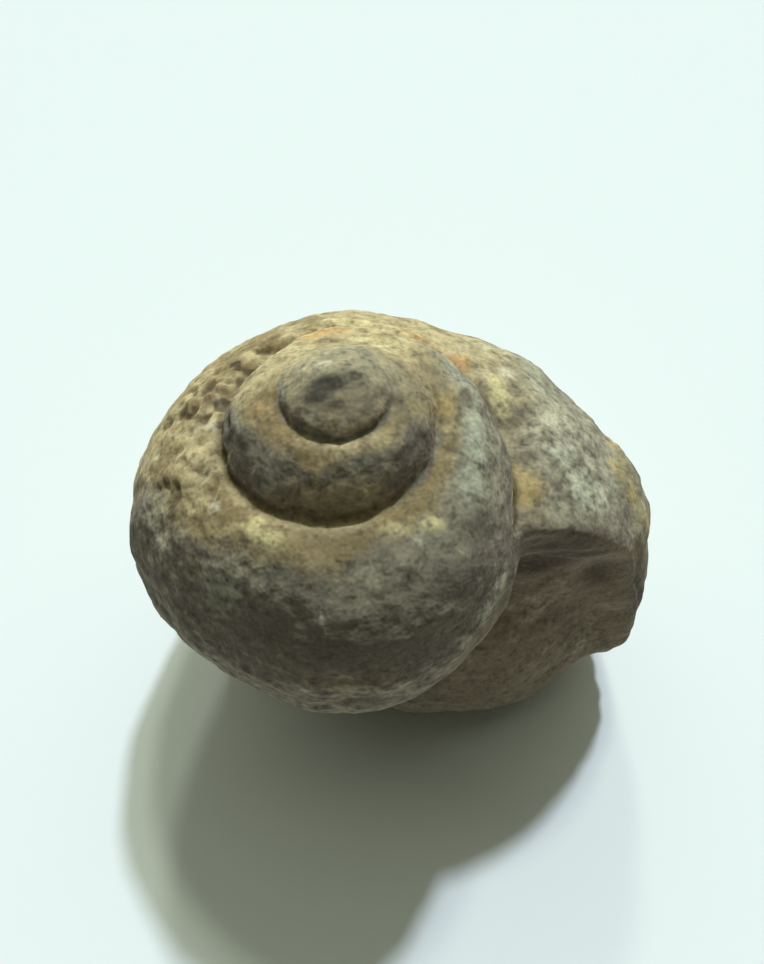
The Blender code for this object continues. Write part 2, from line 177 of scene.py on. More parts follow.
# Pits strewn about: cell, share of the cells that hold one, and seed. Radii are in cells, and depths in
# millimetres.
LARGE_PITS = (1.9 * MM, 0.5, 51)
SMALL_PITS = (1.1 * MM, 0.5, 57)
ROCK_PITS = (1.6 * MM, 0.4, 61)
SMALL_SHARE = 0.6  # depth of the small ones over that of the large ones
STREWN_RADIUS = 0.22  # the smallest
STREWN_SPREAD = 0.28  # what chance adds to it
STREWN_DEPTH = 0.18
ROCK_PIT_DEPTH = 0.15

# Ragged holes: where this noise (cell, share and seed of each part) is high
RAGGED_NOISE = ((1.7 * MM, 1.0, 81), (0.9 * MM, 0.7, 83))
RAGGED_FROM = (0.08, 0.75)  # noise over which a hole sinks to its bottom
RAGGED_DEPTH = 0.55 * MM
BEND = 0.25 * MM  # how far pits and holes are bent out of round, then cell and first seed
BEND_CELL = 0.9 * MM
BEND_SEED = 40

# Crust left on the outer flank by the mouth: a plate a little proud of the cast
CRUST_CENTRE = np.array((38.5, 2.5, 31.5)) * MM
CRUST_REACH = np.array((8.0, 10.5, 12.5)) * MM
CRUST_PROUD = 0.6 * MM
CRUST_BEHIND = (1.0 * MM, 3.0 * MM)  # distance behind the lip over which it sets in
CRUST_EDGE = ((7.0 * MM, 0.22, 23), (3.0 * MM, 0.14, 29), (1.3 * MM, 0.06, 31))  # cell, share, seed
EDGE_SLOPE = 0.12  # half the width of its slope, over its reach

# Wear all over: cell, depth and seed of each size of lump, down to the coarsest grains
LUMPS = (
    (10.0 * MM, 0.50 * MM, 3), (4.5 * MM, 0.30 * MM, 7), (2.2 * MM, 0.17 * MM, 11),
    (1.1 * MM, 0.10 * MM, 13), (0.65 * MM, 0.05 * MM, 17),
)
SMALL_LUMP = 3.0 * MM  # lumps under this size are rougher in the pitted zone
PITTED_ROUGHNESS = 1.0  # how much deeper they are there
ROCK_ROUGHNESS = 0.1  # how much deeper the lumps of bare rock are
SEAM_DEPTH = 0.7 * MM
SEAM_WIDTH = 1.2 * MM
CRACK_DEPTH = 0.3 * MM  # the narrow line at the bottom of the seam
CRACK_WIDTH = 0.55 * MM

# How much darker brown is laid in cracks, seams, single pits, strewn pits, pits in rock and ragged
# holes
HOLLOW_DARKNESS = (0.6, 0.35, 0.8, 0.4, 0.3, 0.7)

# How sharp the seam still is along the coil: bearing in degrees and share
SEAM_SHARPNESS = (
    (-23, 1), (20, 0.7), (50, 0.5), (150, 0.5), (190, 0.8), (300, 0.9), (370, 0.6), (400, 0),
    (510, 0), (560, 0.8), (680, 0.7), (740, 0.2), (780, 0),
)

# Bare rock: the places over which it sets in, the first two behind the lip. What faces -Y by
# MOUTH_FACING and lies within MOUTH_DEPTH behind the lip is rock too.
MOUTH_FACE = (0.7 * MM, 0.1 * MM)
ROCK_IN_FRONT = (1.2 * MM, 0.0 * MM)
MOUTH_RIGHT_OF = (17.0 * MM, 19.5 * MM)
ROCK_RIGHT_OF = (9.0 * MM, 15.0 * MM)
ROCK_UNDER_LIP = (47.0 * MM, 43.0 * MM)
ROCK_AT_FOOT = (16.0 * MM, 8.0 * MM)
MOUTH_DEPTH = (4.5 * MM, 3.0 * MM)
MOUTH_FACING = (0.3, 0.65)
ROCK_BY_THE_LIP = ((38.5, -5.0, 27.0), (3.2, 4.2, 9.0))  # centre and reach, in millimetres

# Rings that fill the mouth from its edge inwards, as shares of the edge's own size
CAP_RINGS = np.concatenate([np.linspace(0.995, 0.8, 24), np.linspace(0.78, 0.04, 30)])
AROUND = 300  # points round the tube's section
STEP = 1.2  # degrees between sections
EDGE_SKIP = 3  # every third point of the edge is enough to measure from
MASS_AROUND = 180
MASS_RINGS = 100
MASS_POLE = 0.48  # half turns up to a mass's last ring, a little short of its pole
BASE_HEIGHT = 0.22 * MM  # the worn base before its own lumps bring it down to the floor
FAR = 1.0  # a distance that nothing on the stone reaches

# Whole numbers that scramble those of a lattice corner into its fixed random value
LATTICE_KEYS = (73856093, 19349663, 83492791, 2654435761, 1274126177)

# Reach of the tan weathering out from the seam, over the seam's radius, by bearing along the coil
TAN_REACH = (
    (-60, 1.5), (-10, 1.25), (20, 1.3), (50, 1.7), (70, 2.2), (150, 2.2), (175, 1.9), (195, 1.62),
    (215, 1.5), (235, 1.36), (265, 1.36), (300, 1.3), (337, 1.22), (380, 1.25), (420, 1.6), (460, 1.9),
    (520, 1.75), (560, 1.42), (640, 1.33), (700, 1.5), (720, 2.1), (800, 2.3), (840, 2.3), (910, 1.5),
    (1000, 1.45),
)
# How strong it is there
TAN_STRENGTH = (
    (-60, 0.3), (20, 0.4), (50, 0.75), (70, 1), (200, 1), (240, 0.9), (300, 0.85), (337, 0.8),
    (360, 0.6), (400, 0.6), (430, 0.95), (520, 1), (570, 0.95), (640, 0.95), (700, 0.65), (780, 0.65),
    (860, 0.65), (930, 0.7), (1000, 0.75),
)
TIP_TAN = 0.4  # even share of it on the worn tip
TIP_TAN_ABOVE = (63.8 * MM, 65.6 * MM)
TAN_EDGE = 0.27  # half the width of its soft edge, over the seam's radius
TAN_EDGE_NOISE = ((3.2 * MM, 0.12, 71), (1.3 * MM, 0.08, 73))  # cell, share and seed
TAN_FACING = (0.0, 0.35)  # it needs a normal whose Z is up to this

# A surface is paler as its normal's Z rises over UPPER_FACING (painted light from above) or falls over
# UNDER_FACING (painted bounce light from the floor), and as its normal's Y rises over REAR_FACING
# (painted light from the lamps behind): the share of the paler colour anywhere, and what the rear adds
UPPER_FACING = (0.25, 0.85)
UNDER_FACING = (0.45, -0.3)
REAR_FACING = (-0.3, 0.35)
UPPER_EVEN = 0.55
UPPER_REAR = 0.45
# Light tan: its even share, and what the rear adds, painted light from the lamps behind
LIGHT_TAN_EVEN = 0.15
LIGHT_TAN_REAR = 0.52
LIGHT_TAN_NOISE = ((5.0 * MM, 0.6, 91), (2.2 * MM, 0.5, 93))  # cell, share and seed

# Stains, in millimetres: centre, reach and strength of each. Some of the pale, yellow, umber and dark
# ones are painted light or painted shade, as each says
STAINS = {
    "orange": (
        ((-3.4, 11.4, 59.8), (2.4, 1.8, 1.8), 1), ((-1.5, 11.6, 60.2), (2.2, 1.6, 1.6), 0.8),
        ((8.2, 16.5, 52.2), (2.2, 1.6, 1.8), 0.8), ((13.3, 13.2, 51.7), (1.8, 1.6, 1.8), 1),
        ((-8.2, -0.4, 63), (0.8, 1.1, 1), 0.6), ((-11.4, 9.4, 55.1), (0.9, 0.9, 0.9), 0.8),
        ((34, 8.5, 39), (2, 2, 2.2), 0.4), ((37.6, -1, 32), (1.6, 1.6, 3), 0.6),
        ((-3.4, -7, 63.4), (2, 0.9, 1), 0.4),
    ),
    "brown": (
        ((0.5, -9.8, 60.2), (9, 3, 3.5), 0.95), ((32.6, 8.6, 39.2), (0.9, 2.4, 1.6), 1),
        ((33.6, 5.4, 40.6), (1, 2, 1.6), 0.9), ((38, 1.6, 33.6), (1.6, 1.8, 2.6), 1),
        ((-14, 7, 54.6), (3, 3, 3), 0.5), ((26, -7, 30), (5, 4, 4), 0.8),
        ((0, -24, 45.5), (10, 3, 4), 0.5),
    ),
    "ochre": (
        ((20.6, -2.6, 49.9), (2.6, 2.6, 2.2), 1), ((19.3, -0.6, 50.4), (1.4, 2, 1.4), 0.9),
        ((10.9, 2, 59.8), (1.4, 2.2, 1.6), 0.7), ((33, 8.5, 38.6), (1.2, 1.8, 1.8), 0.9),
        ((32.4, 4.2, 41.6), (1.6, 2, 1.8), 0.75), ((34.3, 1.6, 39.8), (1.6, 1.8, 1.8), 0.7),
        ((36.3, -0.7, 36.4), (1.6, 1.4, 2.2), 0.8), ((2, 15.5, 55), (7, 2, 3), 0.6),
    ),
    # Yellow: yellowish stains, and painted light at the back as marked below
    "yellow_and_rear_light": (
        ((17.6, 9.6, 51.2), (1.2, 2.2, 1.5), 1.3), ((18.5, 7.2, 51), (1.2, 1.5, 1.3), 1.2),
        ((-7.4, -12.2, 57.3), (2, 1.2, 1.2), 1), ((-8.8, -11.2, 57.2), (1.5, 1.2, 1.2), 0.9),
        # Painted light from the lamps behind: the broad ones at the back, (2, 16.8, 52.8) here and (-7,
        # 9, 59) and (4, 9, 60) below
        ((2, 16.8, 52.8), (9, 2.6, 2.6), 0.6), ((9, -11.2, 58.3), (2.2, 1.2, 1.2), 0.7),
        ((5.4, -11.8, 58.7), (2.4, 1, 1.2), 0.6), ((-7, 9, 59), (4, 3, 3), 0.6),
        ((4, 9, 60), (4, 3, 3), 0.5),
    ),
    # Pale: chalky flecks, and also painted bounce light and painted light where marked below
    "chalk_and_bounce_light": (
        ((18.8, 13, 50), (1.6, 1.3, 1.4), 0.9), ((23.6, 6.8, 48.8), (1.8, 1.4, 1.4), 1),
        ((21.4, 5, 49.8), (1.8, 1.3, 1.2), 0.7), ((-3.1, -3, 66.4), (1, 0.7, 0.9), 0.8),
        ((-14.4, 5.5, 55.4), (1, 0.9, 0.9), 0.8), ((-14.6, 2.1, 55.9), (1, 0.9, 0.9), 0.8),
        ((-13.4, -8.1, 56.2), (1, 0.8, 0.8), 0.9), ((19.2, -7.2, 49.9), (1.2, 0.9, 1), 0.6),
        ((7.6, -12.8, 58), (1.1, 0.8, 0.9), 0.8), ((-1.8, 2.6, 66.8), (0.9, 0.6, 0.8), 1),
        ((26.2, -0.4, 47.8), (2.2, 1.8, 1.6), 0.6), ((29.8, -1.4, 45), (1.8, 2, 1.8), 0.6),
        ((-2.1, -19.4, 53.8), (0.24, 0.9, 0.9), 1), ((-1.7, -20.6, 52.4), (0.24, 0.8, 0.8), 0.7),
        # Painted light: these two broad ones pale the upper right side that faces the lamps
        ((25, 5, 48), (7, 8, 5), 0.42), ((14.5, 12.5, 52.5), (6, 5, 4), 0.35),
        # Painted bounce light from the floor: the next seven, along the lower front edge of the body
        # whorl
        ((17.6, -13.2, 47.6), (1.6, 2.4, 2.4), 0.75), ((16, -17, 46.8), (1.8, 2.2, 2), 0.8),
        ((13.6, -20.4, 45.6), (1.9, 2, 1.9), 0.8), ((10.6, -22.8, 44.8), (2, 1.8, 1.8), 0.8),
        ((6.8, -24.8, 44), (2.4, 1.7, 1.7), 0.75), ((1.5, -25.3, 44), (3.4, 1.6, 1.6), 0.6),
        ((-4.8, -24, 43), (3, 1.6, 1.6), 0.45), ((-4.5, 2.4, 65.4), (2.2, 1.6, 2.4), 0.35),
        ((-2, -5.5, 64.5), (5, 2.6, 3), 0.28),
        # Painted bounce light: these two pale the mouth's face and its lower right corner
        ((25, -9.5, 30.5), (6, 3, 4.5), 0.3), ((31, -9, 17), (3.5, 3, 3), 0.35),
    ),
    "grey": (
        ((13.8, -1.4, 58.6), (1.8, 4.6, 2.4), 1), ((13.2, -6.3, 58), (1.8, 3.2, 2), 0.9),
        ((12.4, 5.4, 57.6), (2, 2.6, 2.4), 0.6),
        ((24.8, 3, 48.6), (2.6, 1.8, 1.8), 0.8), ((27.6, -1, 46.8), (3, 3, 2.4), 0.9),
        ((-20, -7, 49), (3, 6, 5), 0.5), ((-13, -15, 52), (4, 4, 4), 0.4),
        ((16, 18, 47), (5, 3, 3), 0.5),
    ),
    # Umber: reddish rock colour, laid deepest under the broken lip, in the mouth's recess and in the
    # crease below the second turn: painted shade
    "umber_and_shade": (
        ((23, -7.5, 37.4), (5, 4.5, 2.3), 1.3), ((25, -7, 43.5), (8, 4, 3.6), 0.75),
        ((31, -7.5, 33.5), (3, 4.5, 4.5), 0.75), ((29.6, -8.5, 26), (4, 4, 3), 0.4),
        ((37.6, 2.2, 34.4), (1.4, 1.8, 1.8), 0.9), ((3, -12.4, 57.2), (10, 2.2, 1.6), 0.5),
        ((38.4, -4.6, 29), (3, 4, 8.5), 0.95), ((16, -15, 14), (12, 7, 8), 0.3),
        ((26.5, -6.5, 40), (6, 4, 1.8), 0.9),
    ),
    # Dark: dark spots, and painted shade on the front of the body whorl as marked below
    "dark_and_shade": (
        ((-1.3, -0.1, 67.6), (2.2, 1, 4), 1.3), ((-2.4, -1.2, 67), (1.8, 0.9, 4), 1),
        ((-0.8, -2.2, 66.8), (1.6, 0.7, 4), 0.65), ((1.3, 0.7, 67.2), (1.4, 0.7, 4), 0.85),
        ((35.4, 6, 38), (1.2, 1.4, 1.4), 0.8), ((38, -4.8, 29), (2, 2.6, 6), 0.35),
        ((-11.4, -0.6, 59.4), (1.4, 2.6, 1.8), 0.8), ((-9.9, -3.6, 60.9), (1.1, 1.4, 1.3), 0.6),
        ((14, -10, 55.5), (2.8, 2.8, 2.8), 0.5), ((11, -15.5, 54), (4, 3, 3), 0.4),
        ((35.6, 3.9, 36.8), (1, 0.9, 1.2), 1), ((-12.3, 10.9, 54.5), (2.2, 0.8, 1), 0.7),
        # Painted shade: the second one here, broad, darkens the front of the body whorl facing away
        # from the lamps
        ((-9.2, 12.7, 54.5), (1.5, 0.7, 0.9), 0.6), ((-1, -20, 50.5), (13, 5, 4.5), 0.5),
        ((21, 2, 50.4), (1.6, 1.2, 1.2), 0.5), ((-9.6, -2.9, 61.6), (0.8, 0.9, 0.9), 0.6),
        ((-14.6, -3.9, 56.2), (1, 0.9, 0.9), 0.6),
    ),
}

# Patterns of the material: name, size of their blobs in millimetres, detail and roughness
PATTERNS = (
    ("blotch", 4.0, 2.0, 0.5), ("mottle", 0.9, 2.0, 0.55), ("speck", 0.45, 1.0, 0.5),
    ("grain", 0.22, 0.0, 0.5),
)
FRET = (0.8, 0.5)  # shares of the mottling and the specks in what frets the layers' edges
SHADE = (0.95, 0.5)  # shares of the mottling and the grain in the light and dark all over
RELIEF_GRAIN = 0.5  # share of the grain, beside the specks, in the finest relief
RELIEF_STRENGTH = 0.55
RELIEF_DEPTH = 0.2 * MM
MASKS = (
    "everywhere", "lit_upper_side", "floor_lit_under_side", "tan_coat", "light_tan_and_lit_rear", "bare_rock", "crust",
    "hollow", *(name + "_stain" for name in STAINS),
)

# Colours laid over each other: what they follow, how far the mottling frets that, where it starts and
# is full, its share there, and the colour
LAYERS = (
    ("everywhere", 0.0, 0.0, 1.0, 1.0, "body"),
    # Painted light: a lit copy of the grey on upper sides, brighter on those facing the lamps behind
    ("lit_upper_side", 0.4, 0.0, 1.0, 0.9, "lit_body"),
    # Painted bounce light: a paler copy of the grey on sides that face down to the floor
    ("floor_lit_under_side", 0.4, 0.0, 1.0, 0.9, "floor_lit_body"),
    ("brown_stain", 0.8, 0.1, 0.9, 0.8, "brown"),
    ("blotch", 0.4, 0.66, 0.32, 0.38, "dark_body"),
    ("tan_coat", 0.55, 0.1, 0.9, 1.0, "tan"),
    # Light tan weathering, laid more on sides facing the lamps behind: partly painted light
    ("light_tan_and_lit_rear", 0.55, 0.1, 0.95, 0.7, "light_tan"),
    ("bare_rock", 0.3, 0.1, 0.9, 0.9, "rock"),
    ("crust", 0.4, 0.1, 0.9, 0.75, "crust"),
    ("grey_stain", 1.0, 0.1, 1.0, 0.62, "grey"),
    ("ochre_stain", 0.9, 0.15, 0.85, 0.8, "ochre"),
    ("orange_stain", 0.9, 0.15, 0.85, 0.75, "orange"),
    # Yellowish stains, and painted light at the back
    ("yellow_and_rear_light_stain", 0.9, 0.15, 0.85, 0.8, "yellow_and_rear_light"),
    # Pale flecks, and painted bounce light and painted light
    ("chalk_and_bounce_light_stain", 0.65, 0.1, 1.0, 0.8, "chalk_and_bounce_light"),
    # Umber: reddish rock colour, and painted shade in the mouth and creases
    ("umber_and_shade_stain", 0.9, 0.15, 0.85, 0.85, "umber_and_shade"),
    # Dark spots, and painted shade on the front of the body whorl
    ("dark_and_shade_stain", 1.1, 0.15, 0.85, 0.88, "dark_and_shade"),
    # Darker brown in cracks, seams and pits
    ("hollow", 0.3, 0.05, 0.85, 0.8, "deep_brown"),
    ("speck", 0.2, 0.42, 0.25, 0.24, "deep_brown"),
    ("speck", 0.2, 0.60, 0.78, 0.10, "light_tan"),
)

# Camera, for an image of 764 by 964 pixels
IMAGE_LONG_SIDE = 964
FOCAL_PIXELS = 1000.0  # focal length, in pixels of that image
SENSOR = 36.0  # side of the sensor that takes in the long side, in millimetres
CAMERA_ELEVATION = 61.9  # degrees that the view looks down
CAMERA_PLACE = (4.0 * MM, -54.8 * MM, 149.2 * MM)
NEAREST_SEEN = 5.0 * MM

# Lights: elevation and bearing in degrees, share of the whole, width in degrees and colour
LIGHTS = (
    ("main_light", 56.0, 75.0, 0.46, 3.5, (0.89, 1.0, 1.17)),
    ("second_light", 58.0, 84.0, 0.16, 5.0, (0.90, 1.0, 0.84)),
    ("low_light", 40.0, 92.0, 0.11, 5.0, (0.90, 1.0, 0.84)),
    ("wide_light", 38.0, 90.0, 0.21, 110.0, (0.91, 1.0, 0.78)),
)
FILL_COLOUR = (0.94, 1.0, 0.76, 1.0)


def linear(hex_colour):
    """The linear RGBA of an sRGB colour written as hex: ((v + 0.055) / 1.055) ** 2.4 above 0.04045."""
    value = np.array([int(hex_colour[i:i + 2], 16) for i in (1, 3, 5)]) / 255.0
    value = np.where(value > 0.04045, ((value + 0.055) / 1.055) ** 2.4, value / 12.92)
    return (*value.tolist(), 1.0)


def colour_property(name, description, hex_colour):
    """A colour that a user can change, given in sRGB hex."""
    return bpy.props.FloatVectorProperty(
        name=name, description=description, size=4, subtype="COLOR", min=0.0, max=1.0,
        default=linear(hex_colour),
    )


def length_property(name, description, default):
    """A length that a user can change, in metres."""
    return bpy.props.FloatProperty(
        name=name, description=description, default=default, unit="LENGTH", precision=5)


class StoneShape(bpy.types.PropertyGroup):
    """Sizes of the coil and of its wear."""
    tip_height: length_property("Tip height", "Height that the spire would run up to", 70.8 * MM)
    seam_radius: length_property("Seam radius", "Radius of the seam at the mouth", 19.7 * MM)
    mouth_plane: length_property("Mouth plane", "Y at which the lip is broken off", -7.6 * MM)
    cell: length_property("Cell", "Cell of the grid that fuses turns and rock", 0.38 * MM)
    growth: bpy.props.FloatProperty(
        name="Growth", description="Widening of the coil in one turn", default=1.99, min=1.1, max=4.0)
    wear: bpy.props.FloatProperty(
        name="Wear", description="Depth of lumps and pits, over that of the real stone", default=1.0,
        min=0.0, max=2.0)
    triangles: bpy.props.IntProperty(
        name="Triangles", description="Most triangles of the finished stone", default=190000, min=10000)


class StoneColours(bpy.types.PropertyGroup):
    """Colours of the weathered limestone."""
    body: colour_property("Body", "Grey-brown of the clean cast", "#7E7263")
    # Painted light: a lit copy of the body's grey for the upper sides and those facing the lamps behind
    lit_body: colour_property("Pale body", "Paler grey of the cast's upper sides", "#B0AA90")
    dark_body: colour_property("Dark body", "Darker grey of its mottling", "#6A5F51")
    tan: colour_property("Tan", "Weathering on the upper sides", "#9F8B64")
    # Light tan: real lighter weathering, laid more at the rear as painted light
    light_tan: colour_property("Light tan", "Lighter blotches of the weathering", "#D3C195")
    rock: colour_property("Rock", "Brown rock in the mouth and under the base", "#97866F")
    crust: colour_property("Crust", "Olive-brown crust on the outer flank", "#92886A")
    # Dark brown for cracks, seams, pits and specks
    deep_brown: colour_property("Dirt", "Brown soil left in pits and seams", "#51432E")
    # Painted bounce light: a paler copy of the body's grey for the sides that face the floor
    floor_lit_body: colour_property("Low body", "Paler grey of the cast's under side", "#B4A58D")
    brown: colour_property("Brown", "Brown stains", "#A6926C")
    orange: colour_property("Orange", "Rusty stains", "#D2A366")
    ochre: colour_property("Ochre", "Ochre stains", "#BEA56E")
    # Yellow: yellowish stains, and painted light at the back
    yellow_and_rear_light: colour_property("Yellow", "Yellowish stains", "#E7D9A2")
    # Pale: chalky flecks, and painted bounce light and painted light, as the STAINS table marks
    chalk_and_bounce_light: colour_property("Pale", "Chalky stains", "#E2DABD")
    grey: colour_property("Grey", "Grey stains", "#C3C5AC")
    # Umber: reddish rock, and painted shade where it lies in the recess under the lip
    umber_and_shade: colour_property("Umber", "Dark reddish stains of the sheltered rock", "#5A4A40")
    # Dark: dark spots, and painted shade on the front of the body whorl
    dark_and_shade: colour_property("Dark", "Dark stains", "#4A443B")


class StageSettings(bpy.types.PropertyGroup):
    """Floor and light."""
    floor_size: length_property("Floor size", "Side of the pale floor", 6.0)
    key: bpy.props.FloatProperty(
        name="Key", description="Strength of the lights together on the floor", default=3.5, min=0.0)
    fill: bpy.props.FloatProperty(
        name="Fill", description="Strength of the even light from all round", default=0.07, min=0.0)
    floor_colour: colour_property("Floor", "Matt white paper", "#E9EDEC")


def superellipse(x, power):
    """x raised to 2/power with its sign kept: one coordinate of a superellipse."""
    return np.sign(x) * np.abs(x) ** (2.0 / power)


def smooth_step(x, start, end):
    """0 before start, 1 past end, and 3t^2 - 2t^3 between, t being the share of the way."""
    t = np.clip((x - start) / (end - start), 0.0, 1.0)
    return t * t * (3.0 - 2.0 * t)


def lattice_value(corner, shift, seed):
    """A fixed random value from -1 to 1 for each corner of a cubic lattice.

    Its three whole numbers times large keys are mixed bit by bit, and the last 16 bits are the value.
    """
    key = (corner[:, 0] + shift[0]) * LATTICE_KEYS[0] ^ (corner[:, 1] + shift[1]) * LATTICE_KEYS[1]
    key = key ^ (corner[:, 2] + shift[2]) * LATTICE_KEYS[2] ^ seed * LATTICE_KEYS[3]
    key = (key ^ (key >> 13)) * LATTICE_KEYS[4]
    return ((key ^ (key >> 16)) & 0xFFFF) / 32767.5 - 1.0


def lattice_noise(points, cell, seed):
    """Noise from -1 to 1: the values at a cell's corners, blended by 3t^2 - 2t^3 along each axis."""
    grid = points / cell
    corner = np.floor(grid).astype(np.int64)
    part = grid - corner
    part = part * part * (3.0 - 2.0 * part)
    total = np.zeros(len(points))
    for shift in np.ndindex(2, 2, 2):
        share = np.prod(np.abs(1 - np.array(shift) - part), axis=1)
        total += lattice_value(corner, shift, seed) * share
    return total


def noise_sum(points, parts, total=0.0):
    """A start value and noises added up: the cell, share and seed of each."""
    for cell, share, seed in parts:
        total = total + share * lattice_noise(points, cell, seed)
    return total


def strewn_pits(points, cell, share, seed):
    """Depth from 0 to 1 of pits strewn about, one to a lattice cell on that share of the cells.

    A pit is exp(-(d/r)^2), d being the distance from a random point of its cell and r a random
    radius; where pits meet the deeper one holds.
    """
    grid = points / cell
    corner = np.floor(grid).astype(np.int64)
    deepest = np.zeros(len(points))
    for shift in np.ndindex(3, 3, 3):
        step = np.array(shift) - 1
        random = [lattice_value(corner, step, seed + i) * 0.5 + 0.5 for i in range(5)]
        centre = corner + step + np.stack(random[:3], axis=1)
        away = np.linalg.norm(grid - centre, axis=1) / (STREWN_RADIUS + STREWN_SPREAD * random[3])
        deepest = np.maximum(deepest, np.exp(-away ** 2) * (random[4] < share))
    return deepest


def seam_radius_at(bearing, shape):
    """Seam's radius at an unwound bearing: it shrinks by the growth factor with each turn back."""
    return shape.seam_radius * shape.growth ** (-(bearing - MOUTH_BEARING) / 360.0)


def tube_point(bearing, turn_angle, shape):
    """Point of the coil's skin at an unwound bearing and an angle round the section.

    The section is four quarter superellipses about a centre that is a fixed number of seam radii
    out from the axis and down from the tip; the seam's radius grows exponentially with the bearing.
    """
    seam = seam_radius_at(bearing, shape)
    places, factors = np.array(FULLNESS).T
    full = np.mean([np.interp(bearing + shift, places, factors) for shift in FULLNESS_BLEND], axis=0)
    out, up = np.cos(turn_angle), np.sin(turn_angle)
    power = np.where(up > 0, np.where(out > 0, OUTER_POWER, INNER_POWER), LOWER_POWER)
    reach = np.where(out > 0, OUTER_REACH * full, INNER_REACH)
    radius = seam * (CENTRE_OUT + reach * superellipse(out, power))
    rise = np.where(up > 0, RISE, FALL) * superellipse(up, power)
    height = shape.tip_height + seam * (rise - CENTRE_DROP)
    angle = np.radians(bearing)
    return np.stack([radius * np.cos(angle), radius * np.sin(angle), height], axis=-1)


def leaned(points, sense=1.0):
    """Points of the upright spire moved to the leaning one, or back again with a sense of -1.

    The shift, and the drawing out along X, fade from the axis outwards and from the tip down.
    """
    share = smooth_step(np.hypot(points[..., 0], points[..., 1]), *LEAN_FADE)
    share = sense * share * smooth_step(points[..., 2], *LEAN_ABOVE)
    return points + share[..., None] * (LEAN + points * (LEAN_WIDENING, 0.0, 0.0))


def lip_plane(points, shape):
    """Y of the broken lip: straight, and its upper edge running back from its start outwards."""
    back = LIP_SLANT * np.maximum(points[:, 0] - LIP_START, 0.0)
    return shape.mouth_plane + back * smooth_step(points[:, 2], *LIP_SLANT_ABOVE)


def mouth_bearings(turn_angle, shape):
    """Bearing at which each line along the tube meets the broken lip: asin(Y / radius), refined."""
    bearing = np.full(len(turn_angle), MOUTH_BEARING)
    longest = np.sin(np.radians(LONGEST_REACH))
    for _ in range(MOUTH_ROUNDS):
        point = tube_point(bearing, turn_angle, shape)
        radius = np.maximum(np.hypot(point[:, 0], point[:, 1]), LEAST_RADIUS)
        sine = np.clip(-lip_plane(point, shape) / radius, 0.0, longest)
        bearing = -np.degrees(np.arcsin(sine))
    return bearing


def mouth_relief(x, z, inward):
    """Forward push of the mouth's rock: exp(-d^3) about each form's centre, less the rim's groove."""
    push = np.zeros(len(x))
    for (form_x, form_z), (reach_x, reach_z), amount in MOUTH_FORMS:
        away = ((x / MM - form_x) / reach_x) ** 2 + ((z / MM - form_z) / reach_z) ** 2
        push += amount * MM * np.exp(-away ** 1.5)
    push *= smooth_step(inward, *FORMS_SET_IN)
    groove = GROOVE_DEPTH * np.exp(-((inward - RIM_WIDTH) / GROOVE_WIDTH) ** 2)
    groove *= smooth_step(x, *GROOVE_START)
    groove *= smooth_step(z, *GROOVE_BOTTOM) * smooth_step(z, *GROOVE_TOP)
    return push - groove


def closed_grid(rings):
    """Vertices, quads and triangles of a closed grid of rings, with a fan of triangles at each end."""
    count, around = rings.shape[:2]
    vertices = np.vstack([rings.reshape(-1, 3), rings[0].mean(axis=0), rings[-1].mean(axis=0)])
    here = np.arange(around)
    ahead = np.roll(here, -1)
    start = np.arange(count - 1)[:, None] * around
    above = start + around
    quads = np.stack([start + here, start + ahead, above + ahead, above + here], axis=-1)
    last = (count - 1) * around
    first_fan = np.stack([np.full(around, len(vertices) - 2), ahead, here], axis=-1)
    last_fan = np.stack([np.full(around, len(vertices) - 1), last + here, last + ahead], axis=-1)
    return vertices, quads.reshape(-1, 4), np.vstack([first_fan, last_fan])


def coil_grid(shape):
    """Rings of the tube from the worn tip to the broken lip, and then of the rock that fills the mouth.

    The rings are tube_point over bearing and section angle; the oldest ones shrink about their own
    centres by sqrt(1 - (1 - t)^2), which rounds the end, and the mouth's are the last ring scaled
    towards its middle and pushed along Y by mouth_relief.
    """
    turn_angle = np.linspace(0.0, 2.0 * np.pi, AROUND, endpoint=False)
    ends = mouth_bearings(turn_angle, shape)
    oldest = MOUTH_BEARING + 360.0 * TURNS
    share = np.linspace(0.0, 1.0, int(360.0 * TURNS / STEP))[:, None]
    bearing = oldest + (ends[None, :] - oldest) * share
    rings = tube_point(bearing, np.broadcast_to(turn_angle, bearing.shape), shape)
    grown = np.clip((oldest - bearing[:, :1]) / TIP_ROUNDING, TIP_LEAST, 1.0)[..., None]
    centres = rings.mean(axis=1, keepdims=True)
    rings = leaned(centres + (rings - centres) * np.sqrt(1.0 - (1.0 - grown) ** 2))
    rim = rings[-1]
    middle = rim.mean(axis=0)
    caps = middle + (rim - middle) * CAP_RINGS[:, None, None]
    flat = caps.reshape(-1, 3)[:, ::2]
    inward = np.min(np.linalg.norm(flat[:, None] - rim[None, ::EDGE_SKIP, ::2], axis=2), axis=1)
    caps[..., 1] -= mouth_relief(flat[:, 0], flat[:, 1], inward).reshape(caps.shape[:2])
    return closed_grid(np.concatenate([rings, caps]))


def mass_grid(centre, reach, heights, power):
    """A mass of rock: a superellipsoid with its own rise above and fall below its centre."""
    turn = np.linspace(0.0, 2.0 * np.pi, MASS_AROUND, endpoint=False)
    slope = np.linspace(-MASS_POLE, MASS_POLE, MASS_RINGS)[:, None] * np.pi
    level = superellipse(np.cos(slope), power)
    up = superellipse(np.sin(slope), power)
    x = centre[0] + reach[0] * level * np.cos(turn)
    y = centre[1] + reach[1] * level * np.sin(turn)
    z = centre[2] + np.where(up > 0, heights[0], heights[1]) * up
    return closed_grid(np.stack([x, y, np.broadcast_to(z, x.shape)], axis=-1) * MM)


def placed(name, data):
    """A new object in the scene, at the origin."""
    made = bpy.data.objects.new(name, data)
    bpy.context.scene.collection.objects.link(made)
    return made


